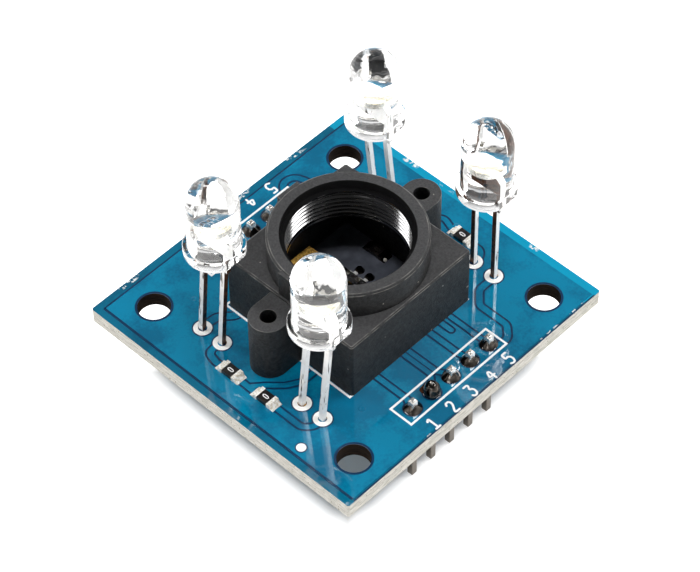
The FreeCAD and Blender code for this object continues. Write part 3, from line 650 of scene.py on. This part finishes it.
# Strokes of the plain digits in a cell one unit wide and two high
DIGITS = {
    "0": (((0.15, 1.0), (0.15, 1.55), (0.35, 1.9), (0.65, 1.9), (0.85, 1.55), (0.85, 0.45), (0.65, 0.1),
           (0.35, 0.1), (0.15, 0.45), (0.15, 1.0)),),
    "1": (((0.2, 1.55), (0.55, 1.9), (0.55, 0.1)), ((0.2, 0.1), (0.9, 0.1))),
    "2": (((0.12, 1.55), (0.3, 1.85), (0.7, 1.85), (0.88, 1.55), (0.8, 1.15), (0.12, 0.1), (0.92, 0.1)),),
    "3": (((0.12, 1.9), (0.85, 1.9), (0.45, 1.2), (0.75, 1.1), (0.9, 0.8), (0.85, 0.35), (0.6, 0.1),
           (0.3, 0.1), (0.1, 0.35)),),
    "4": (((0.7, 0.1), (0.7, 1.9), (0.08, 0.65), (0.5, 0.65)), ((0.5, 0.65), (0.95, 0.65))),
    "5": (((0.85, 1.9), (0.2, 1.9), (0.15, 1.15), (0.55, 1.25), (0.85, 1.0), (0.9, 0.6), (0.75, 0.2),
           (0.45, 0.1), (0.12, 0.25)),),
}


def digit(text, x, y, size, width, floor, roof, flipped=False):
    """Strokes of one digit, centred, as closed shells. A later stroke lies a hair over the one before."""
    way = -1 if flipped else 1
    shells = []
    for level, stroke in enumerate(DIGITS[text]):
        path = [(x + way * (p[0] - 0.5) * size, y + way * (p[1] - 1.0) * size) for p in stroke]
        shells.append(ribbon(rounded(path, width * 0.6, 3), width, floor, roof + level * OVERLAY,
                             caps=path[0] != path[-1], steps=4))
    return shells


def outline_loops(left, front, right, back, width):
    """Outer and inner loop of a printed frame."""
    half = width / 2
    return [[(left - out, front - out), (right + out, front - out), (right + out, back + out),
             (left - out, back + out)] for out in (half, -half)]


def pour_edges():
    """Left, front, right and back edge of the copper."""
    edge_low, edge_high = low("circuit_board"), high("circuit_board")
    return (edge_low.x + POUR_INSET, edge_low.y + POUR_FRONT_INSET, edge_high.x - POUR_INSET,
            edge_high.y - POUR_INSET)


def board_loops():
    """Outline and holes of the copper under the mask."""
    left, front, right, back = pour_edges()
    loops = [[(left, front), (right, front), (right, back), (left, back)]]
    loops += [ring(x, y, MOUNT_HOLE + GAP_WIDE) for x in (-MOUNT, MOUNT) for y in (-MOUNT, MOUNT)]
    loops += [ring(x, y, LEAD_PAD) for x, y in LEAD_SPOTS]
    loops += [ring(x, y, PIN_PAD) for x, y in PIN_SPOTS]
    loops += [ring(x, y, SCREW_PAD) for x, y in SCREW_SPOTS]
    return loops


def make_board():
    """Board, mask over its copper, traces, a grey plate in the holder as painted reflection, and the vias."""
    paint("circuit_board", BOARD)
    plate("copper_pour_top", board_loops(), TOP, TOP + POUR_HIGH, MASK)
    plate("copper_pour_under", board_loops(), UNDER - POUR_HIGH, UNDER, MASK)
    gaps = []
    tracks = []
    for i, (width, radius, path) in enumerate(TRACES):
        line = rounded([on_grid(*p) for p in path], radius) if len(path) > 2 else [on_grid(*p) for p in path]
        gaps.append(ribbon(line, width + 2 * GAP_WIDE, TOP, TOP + GAP_HIGH + i % 3 * OVERLAY / 3))
        tracks.append(ribbon(line, width, TOP, TOP + TRACE_HIGH + i % 3 * OVERLAY / 3))
    for x, y in LEAD_SPOTS:
        gaps.append(gap_ring(x, y, LEAD_PAD, RING_GAP))
    for x, y in PIN_SPOTS:
        gaps.append(gap_ring(x, y, PIN_PAD, RING_GAP))
    gaps.append(gap_ring(*DOT, DOT_RADIUS, RING_GAP))
    for x in (-MOUNT, MOUNT):
        for y in (-MOUNT, MOUNT):
            gaps.append(gap_ring(x, y, MOUNT_HOLE))
    left, front, right, back = pour_edges()
    rim = low("circuit_board").y + RIM_LINE
    # Painted shadow lines along the pour's left and back edges and along the front rim.
    gaps.append(ribbon(((left, front), (left, back)), 0.24, TOP, TOP + GAP_HIGH, caps=False))
    gaps.append(ribbon(((left, back), (right, back)), 0.16, TOP, TOP + GAP_HIGH, caps=False))
    gaps.append(ribbon(((left, rim), (right, rim)), 0.14, TOP, TOP + GAP_HIGH))
    add_mesh("trace_gaps", gaps, GAP_AND_SHADE)
    add_mesh("traces", tracks, MASK)
    # Painted reflection: a grey plate over the mask on the floor inside the holder.
    plate("chamber_floor", [[(x * CHAMBER_HALF, y * CHAMBER_HALF + GRID_Y) for x, y in
                             ((-1, -1), (1, -1), (1, 1), (-1, 1))]], TOP, TOP + TRACE_HIGH + 0.01, CHAMBER_SHEEN)
    vias = []
    for x, y in VIAS:
        middle = on_grid(x, y)
        vias.append(lathe(middle.x, middle.y, ((0, TOP), (0.36, TOP), (0.34, TOP + 0.06), (0.26, TOP + 0.085),
                                               (0.14, TOP + 0.075), (0.05, TOP + 0.05), (0, TOP + 0.045))))
    add_mesh("tented_vias", vias, MASK, smooth=True)


def gap_ring(x, y, radius, width=GAP_WIDE):
    """Dark ring where the copper keeps clear of a hole or pad."""
    middle = on_grid(x, y)
    inner, outer = radius - 0.02, radius + width
    roof = TOP + GAP_HIGH + OVERLAY
    return tube(middle.x, middle.y, ((inner, TOP), (outer, TOP), (outer, roof), (inner, roof)))


def make_pads():
    """Tinned rings round the lamp leads with the plated hole inside, and pin pads."""
    rings = []
    barrels = []
    for x, y in LEAD_SPOTS:
        middle = on_grid(x, y)
        for face, way in ((TOP, 1), (UNDER, -1)):
            rings.append(tube(middle.x, middle.y, (
                (PAD_HOLE, face), (LEAD_PAD, face), (LEAD_PAD - 0.03, face + way * PAD_HIGH),
                (PAD_HOLE + 0.06, face + way * (PAD_HIGH + 0.03)), (PAD_HOLE, face + way * PAD_HIGH))))
        barrels.append(tube(middle.x, middle.y, (
            (LEAD_HOLE, UNDER + 0.72), (LEAD_HOLE, TOP + 0.05), (LEAD_HOLE - 0.05, TOP + 0.05),
            (LEAD_HOLE - 0.05, UNDER + 0.72))))
        barrels.append(lathe(middle.x, middle.y, ((0, TOP - 0.4), (0.44, TOP - 0.4), (0.45, TOP + 0.03),
                                                  (0.36, TOP), (0, TOP - 0.02)), bumps=0.05, seed=x + y))
    for x, y in PIN_SPOTS:
        middle = on_grid(x, y)
        rings.append(tube(middle.x, middle.y, (
            (0.6, TOP), (PIN_PAD, TOP), (PIN_PAD - 0.03, TOP + PAD_HIGH), (0.6, TOP + PAD_HIGH))))
    add_mesh("tinned_pads", rings, TIN, smooth=True)
    add_mesh("lead_barrels", barrels, BARREL, smooth=True)


def make_print():
    """Silkscreen: header frames, pin numbers and the outline round the holder."""
    half = 2.5 * PITCH
    roof = TOP + PRINT_HIGH
    for header, row, across, along in (("header_a", -1, -0.14, 0.12), ("header_b", 1, -0.1, 0.08)):
        middle = on_grid(across, row * ROW + along)
        plate(f"{header}_frame", outline_loops(middle.x - half, middle.y - PITCH / 2, middle.x + half,
                                               middle.y + PITCH / 2, PRINT_WIDE), TOP, roof, PRINT)
    corner = on_grid(-8.02, 0).x, low("lens_holder").y + 0.12
    far_corner = on_grid(7.7, 8.0)
    plate("holder_frame", outline_loops(*corner, *far_corner, PRINT_WIDE), TOP, roof, PRINT)
    strokes = []
    for row in (-1, 1):
        for i in range(5):
            spot = on_grid((i - 2) * PITCH, row * (ROW + 2.42))
            strokes += digit(str(i + 1), spot.x, spot.y, 0.74, 0.2, TOP, roof, flipped=row > 0)
    middle = on_grid(*DOT)
    strokes.append(lathe(middle.x, middle.y, ((0, TOP), (DOT_RADIUS, TOP), (DOT_RADIUS, roof), (0, roof))))
    add_mesh("pin_numbers", strokes, PRINT)


def joint_profile(height, foot, neck, curve):
    """Solder wicked up a pin: foot and neck radius, and how soon it narrows."""
    profile = [(0, TOP - 0.3), (0.4, TOP - 0.3), (0.5, TOP), (foot + 0.03, TOP + 0.02)]
    for step in range(9):
        share = step / 8
        profile.append((neck + (foot - neck) * (1 - share) ** curve, TOP + 0.05 + (height - 0.08) * share))
    return profile + [(neck * 0.7, TOP + height), (0, TOP + height)]


def blob_profile(height, foot, steps=12):
    """Solder rounded over the whole pin, with a small crater on top."""
    profile = [(0, TOP - 0.3), (0.4, TOP - 0.3), (0.5, TOP), (foot, TOP + 0.02)]
    for step in range(1, steps):
        turn = math.pi / 2 * step / steps
        profile.append((foot * math.cos(turn) ** 0.7, TOP + height * math.sin(turn)))
    return profile + [(0.2, TOP + height + 0.03), (0.1, TOP + height - 0.02), (0, TOP + height - 0.03)]


def make_header_joints():
    """Solder wicked up each pin, a little different on each, with a full blob and flux at one."""
    for header, row in zip(HEADERS, (-1, 1)):
        height = high(f"{header}_solder").z - TOP
        cones = []
        for i in range(5):
            middle = on_grid((i - 2) * PITCH, row * ROW)
            shape = joint_profile(height, 0.84, 0.24, 1.5)
            if (header, i) == ("header_a", BLOB_PIN):
                shape = blob_profile(high("header_a_pin_2").z - TOP, 0.82)
            cones.append(lathe(middle.x, middle.y, shape, bumps=0.12, seed=i * 3.1 + row))
        piece = add_mesh(f"{header}_joints", cones, SHADED_SOLDER, smooth=True)
        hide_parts(f"{header}_solder")
        for i in range(5):
            dressed(f"{header}_pin_{i + 1}", PIN, bevel=0.05)
        dressed(f"{header}_body", STRIP, bevel=0.06)
    middle = on_grid((BLOB_PIN - 2) * PITCH + 0.2, -ROW + 0.25)
    stain = lathe(middle.x, middle.y, ((0, TOP), (0.92, TOP), (0.86, TOP + 0.065), (0, TOP + 0.07)), bumps=0.35,
                  seed=4.4)
    add_mesh("flux_stain", [stain], FLUX, smooth=True)


def thread_radius(phase):
    """Radius of the thread at a part of its pitch."""
    form = THREAD_FORM + ((1.0, 0.0),)
    for (start, first), (end, last) in zip(form, form[1:]):
        if phase <= end:
            depth = first + (last - first) * (phase - start) / (end - start)
            return CREST + (ROOT - CREST) * depth
    return CREST


def thread_cutter(around=144):
    """A closed screw shape whose rows of points run along the thread."""
    per_turn = len(THREAD_FORM)
    rows = per_turn * (math.ceil((THREAD_HIGH - THREAD_LOW) / THREAD_PITCH) + 2)
    start = (math.floor(THREAD_LOW / THREAD_PITCH) - 1) * THREAD_PITCH
    work = bmesh.new()
    columns = []
    for i in range(around + 1):
        column = []
        angle = 2 * math.pi * i / around
        for k in range(rows + 1):
            share = k // per_turn + THREAD_FORM[k % per_turn][0] + i / around
            height = min(max(start + share * THREAD_PITCH, THREAD_LOW), THREAD_HIGH)
            radius = thread_radius((height / THREAD_PITCH - i / around) % 1)
            column.append(work.verts.new(Vector((HOLDER_X + radius * math.cos(angle),
                                                 GRID_Y + radius * math.sin(angle), height)) * MM))
        columns.append(column)
    for near, far in zip(columns, columns[1:]):
        for k in range(rows):
            work.faces.new((near[k], far[k], far[k + 1], near[k + 1]))
    bmesh.ops.remove_doubles(work, verts=work.verts, dist=WELD * MM)
    bmesh.ops.dissolve_degenerate(work, dist=WELD * MM, edges=work.edges)
    open_edges = [e for e in work.edges if e.is_boundary]
    bmesh.ops.holes_fill(work, edges=open_edges, sides=0)
    bmesh.ops.recalc_face_normals(work, faces=work.faces)
    mesh = bpy.data.meshes.new("thread_cutter")
    work.to_mesh(mesh)
    work.free()
    cutter = bpy.data.objects.new("thread_cutter", mesh)
    bpy.context.scene.collection.objects.link(cutter)
    return cutter


def make_holder():
    """The moulded holder with softened edges, lighter in patches of rubbed wear and painted highlight, and a real
    thread in its bore.
    """
    def stays_sharp(edge):
        return not edge.is_convex or all(
            math.hypot(v.co.x / MM - HOLDER_X, v.co.y / MM - GRID_Y) < CREST + 0.05 for v in edge.verts)
    piece = dressed("lens_holder", HOLDER_BLACK, bevel=0.08, segments=3, keep_out=stays_sharp, edge=HOLDER_EDGE)
    cutter = thread_cutter()
    cut = piece.modifiers.new("thread", "BOOLEAN")
    cut.operation = "DIFFERENCE"
    cut.object = cutter
    cut.solver = "EXACT"
    mesh = baked(piece)
    mesh.materials.append(THREAD)
    mesh.materials.append(BORE_SHADE)
    for face in mesh.polygons:
        spots = [mesh.vertices[i].co / MM for i in face.vertices]
        if min(p.z for p in spots) > BORE_FOOT and all(
                math.hypot(p.x - HOLDER_X, p.y - GRID_Y) < LEAD_IN for p in spots):
            face.material_index = 2 if min(p.z for p in spots) < THREAD_HIGH else 3
    piece.data = mesh
    settle_normals(piece, 25)
    bpy.data.objects.remove(cutter)
    dressed("holder_screws", SCREW, bevel=0.06)


def make_lamp(lamp):
    """Clear lens without the cavities, so that the leads sit in solid epoxy, and what is inside it."""
    lens_low, lens_high = low(f"{lamp}_lens"), high(f"{lamp}_lens")
    x = (lens_low.x + lens_high.x) / 2
    flange = (lens_high.x - lens_low.x) / 2
    radius = flange - FLANGE_STEP
    y = lens_high.y - flange
    floor, roof = lens_low.z, lens_high.z
    step = floor + FLANGE_HIGH
    dome = roof - radius
    profile = [(0, floor), (flange - 0.12, floor), (flange - 0.03, floor + 0.04), (flange, floor + 0.12),
               (flange, step - 0.12), (flange - 0.04, step - 0.03), (flange - 0.12, step),
               (radius + 0.1, step), (radius + 0.02, step + 0.03), (radius, step + 0.12)]
    profile += [(radius, step + (dome - step) * k / 6) for k in range(1, 6)]
    profile += [(radius * math.cos(math.pi / 2 * k / 24), dome + radius * math.sin(math.pi / 2 * k / 24))
                for k in range(24)]
    profile.append((0, roof))
    shell, faces = lathe(x, y, profile, count=96)
    flat = lens_low.y
    shell = [(px, max(py, flat), pz) for px, py, pz in shell]
    lens = add_mesh(f"{lamp}_clear", [(shell, faces)], CLEAR, smooth=True)
    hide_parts(f"{lamp}_lens")
    lens.visible_shadow = False

    # Lead faces under the lens that turn away from the lamps are painted dark, painted shade and dark reflection,
    # chosen per lamp.
    def darkened(face):
        across, along = abs(face.normal.x), abs(face.normal.y)
        turned = {"led_1": along > 0.8, "led_3": across > 0.8}.get(lamp, 0.3 < across < 0.95 and along > 0.3)
        return turned and face.calc_center_median().z / MM < floor
    for lead in ("cathode", "anode"):
        dressed(f"{lamp}_{lead}", LEAD, bevel=0.09 if lamp == "led_4" else 0.06, darkened=darkened)
    paint(f"{lamp}_phosphor", PHOSPHOR)
    make_cup(lamp, x, y)


def make_cup(lamp, x, y):
    """Reflector cup round the phosphor, and the bond wire to the post."""
    foot = low(f"{lamp}_phosphor").z
    cup = tube(x, y, ((0.62, foot - 0.05), (0.86, foot + 0.3), (CUP_RADIUS, foot + 0.3), (CUP_RADIUS, foot - 0.35),
                      (0.62, foot - 0.35)), count=40)
    add_mesh(f"{lamp}_cup", [cup], CUP, smooth=True)
    crown = high(f"{lamp}_phosphor").z
    post = high(f"{lamp}_anode")
    wire = []
    for k in range(13):
        share = k / 12
        wire.append((x, y + (post.y - 0.25 - y) * share, crown - 0.05 + 0.35 * math.sin(math.pi * share)))
    add_wire(f"{lamp}_wire", wire, WIRE_RADIUS, CUP)


def add_wire(name, path, radius, material, count=8):
    """A round wire in a plane across X."""
    shell = []
    for i, p in enumerate(path):
        ahead = Vector(path[min(i + 1, len(path) - 1)]) - Vector(path[max(i - 1, 0)])
        side = Vector((1, 0, 0))
        over = ahead.normalized().cross(side)
        for k in range(count):
            turn = 2 * math.pi * k / count
            shell.append(Vector(p) + (side * math.cos(turn) + over * math.sin(turn)) * radius)
    faces = [(i * count + k, i * count + (k + 1) % count, (i + 1) * count + (k + 1) % count, (i + 1) * count + k)
             for i in range(len(path) - 1) for k in range(count)]
    faces.append(tuple(range(count - 1, -1, -1)))
    faces.append(tuple((len(path) - 1) * count + k for k in range(count)))
    return add_mesh(name, [(shell, faces)], material, smooth=True)


def make_lead_joints():
    """Solder cones under the board, at the lamp leads."""
    cones = []
    for i, (x, y) in enumerate(LEAD_SPOTS):
        middle = on_grid(x, y)
        profile = [(0, UNDER + 0.7), (0.45, UNDER + 0.7), (0.46, UNDER)]
        for step in range(9):
            share = step / 8
            profile.append((0.36 + 0.54 * (1 - share) ** 2.0, UNDER - 0.05 - 0.85 * share))
        profile.append((0, UNDER - 0.92))
        cones.append(lathe(middle.x, middle.y, profile, bumps=0.12, seed=i * 2.3))
    piece = add_mesh("lead_joints", cones, SHADED_SOLDER, smooth=True)
    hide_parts("led_solder")


def make_chips():
    """Chip resistors, the capacitor and the sensor."""
    marks = []
    for i in range(1, 5):
        dressed(f"resistor_{i}_body", CHIP_TOP, bevel=0.02)
        # Inside the holder the fourth resistor's ends and mark are painted dark, painted shade.
        ends = CHIP_END if i < 4 else SHADED_SOLDER
        dressed(f"resistor_{i}_ends", ends, bevel=0.04, segments=3)
        dressed(f"resistor_{i}_solder", ends, bevel=0.05, segments=3)
        spot = centre(f"resistor_{i}_body")
        roof = high(f"resistor_{i}_body").z
        mark = digit("0", spot.x, spot.y, 0.34, 0.09, roof, roof + 0.015)
        if i < 4:
            marks += mark
        else:
            add_mesh("mark_painted_shade", mark, SHADED_PRINT)
    add_mesh("resistor_marks", marks, PRINT)
    # Painted glint: a bright solder lump at the near end of the shaded resistor.
    near_end = low("resistor_4_solder")
    glint_x = near_end.x + 0.3
    glint_bead = lathe(glint_x, near_end.y + 0.25, ((0, TOP + 0.02), (0.16, TOP + 0.05), (0.2, TOP + 0.2),
                                             (0.14, TOP + 0.33), (0, TOP + 0.36)), count=20)
    add_mesh("solder_glint", [glint_bead], CHIP_END, smooth=True)
    dressed("tantalum_body", TANTALUM, bevel=0.05)
    dressed("tantalum_straps", CHIP_END, bevel=0.02)
    dressed("tantalum_solder", CHIP_END, bevel=0.04)
    dressed("sensor_package", PACKAGE, bevel=0.05)
    dressed("sensor_leads", LEAD, bevel=0.03)
    dressed("sensor_solder", SHADED_SOLDER, bevel=0.08, segments=3)
    paint("sensor_die", DIE)
    paint("sensor_paddle", PADDLE)


def make_stage():
    """Plain pale floor that shows white, pale world and soft lamps."""
    mesh = bpy.data.meshes.new("floor")
    corners = [(x * FLOOR_REACH, y * FLOOR_REACH, 0) for x, y in ((-1, -1), (1, -1), (1, 1), (-1, 1))]
    mesh.from_pydata(corners, [], [(0, 1, 2, 3)])
    material, tree, shader = new_material("floor_white")
    shader.inputs["Base Color"].default_value = (0.76, 0.74, 0.71, 1)
    shader.inputs["Roughness"].default_value = 1.0
    shader.inputs["Specular IOR Level"].default_value = 0.0
    shader.inputs["Emission Color"].default_value = (1, 1, 1, 1)
    spot = add_node(tree, "SeparateXYZ", [("Vector", place_of(tree))])
    edge_low, edge_high = low("circuit_board"), high("circuit_board")
    inward = []
    for i in (0, 1):
        off_middle = math_of(tree, "SUBTRACT", spot.outputs[i], (edge_low[i] + edge_high[i]) / 2 * MM)
        inward.append(math_of(tree, "SUBTRACT", (edge_high[i] - edge_low[i]) / 2 * MM,
                              math_of(tree, "ABSOLUTE", off_middle)))
    under = math_of(tree, "MINIMUM", *inward)
    lift = between(tree, under, SHADE_SPAN[0] * MM, SHADE_SPAN[1] * MM, FLOOR_LIFT, 0.0)
    tree.links.new(math_of(tree, "MULTIPLY", background_rays(tree), lift), shader.inputs["Emission Strength"])
    mesh.materials.append(material)
    floor = bpy.data.objects.new("floor", mesh)
    bpy.context.scene.collection.objects.link(floor)

    world = bpy.data.worlds.new("studio")
    world.use_nodes = True
    tree = world.node_tree
    rise = add_node(tree, "SeparateXYZ", [("Vector", add_node(tree, "TexCoord").outputs["Generated"])]).outputs[2]
    sky = between(tree, rise, 0.3, 0.72, 1.0, SKY_OVERHEAD)
    light = math_of(tree, "MULTIPLY", sky, between(tree, background_rays(tree), 0.0, 1.0, SKY_SHARE, 1.0))
    camera_ray = add_node(tree, "LightPath").outputs["Is Camera Ray"]
    tree.links.new(math_of(tree, "MAXIMUM", light, camera_ray), tree.nodes["Background"].inputs["Strength"])
    tree.nodes["Background"].inputs["Color"].default_value = (1, 1, 1, 1)
    bpy.context.scene.world = world
    for lamp in SOFT_LAMPS:
        add_lamp(*lamp)


def background_rays(tree):
    """One for rays that show the background: from the camera, or by way of metal or glass."""
    path = add_node(tree, "LightPath")
    return math_of(tree, "MAXIMUM", path.outputs["Is Camera Ray"],
                   math_of(tree, "MAXIMUM", path.outputs["Is Glossy Ray"], path.outputs["Is Transmission Ray"]))


def add_lamp(name, way, far, width, height, level):
    """A soft lamp that gives a white surface which faces it the brightness of level."""
    data = bpy.data.lights.new(name, "AREA")
    data.shape = "RECTANGLE"
    data.size = width * MM
    data.size_y = height * MM
    data.energy = level * (math.pi * far * MM) ** 2
    lamp = bpy.data.objects.new(name, data)
    bpy.context.scene.collection.objects.link(lamp)
    direction = Vector(way).normalized()
    lamp.location = (direction * far + Vector((0, 0, TOP))) * MM
    lamp.rotation_euler = direction.to_track_quat("Z", "Y").to_euler()
    # From above, the gloss of the board would mirror this one as a white patch
    lamp.visible_glossy = name != "overhead_lamp"


def make_camera():
    """Camera at the angle of the photograph."""
    turn, rise, roll = (math.radians(v) for v in (CAMERA_TURN, CAMERA_RISE, CAMERA_ROLL))
    back = Vector((math.sin(turn) * math.cos(rise), -math.cos(turn) * math.cos(rise), math.sin(rise)))
    right = Vector((math.cos(turn), math.sin(turn), 0))
    up = back.cross(right)
    turned_right = right * math.cos(roll) + up * math.sin(roll)
    turned_up = up * math.cos(roll) - right * math.sin(roll)
    aim = Vector(CAMERA_AIM) + Vector((0, GRID_Y, TOP))
    data = bpy.data.cameras.new("photo_camera")
    data.lens = CAMERA_LENS
    data.sensor_width = CAMERA_SENSOR
    data.clip_start = 0.01
    data.clip_end = 20
    camera = bpy.data.objects.new("photo_camera", data)
    bpy.context.scene.collection.objects.link(camera)
    axes = Matrix((turned_right, turned_up, back)).transposed().to_4x4()
    camera.matrix_world = Matrix.Translation((aim + back * CAMERA_FAR) * MM) @ axes
    bpy.context.scene.camera = camera


make_camera()
make_stage()
make_board()
make_pads()
make_print()
make_header_joints()
make_holder()
for lamp_name in LAMPS:
    make_lamp(lamp_name)
make_lead_joints()
make_chips()
bpy.context.scene.view_settings.view_transform = "Standard"
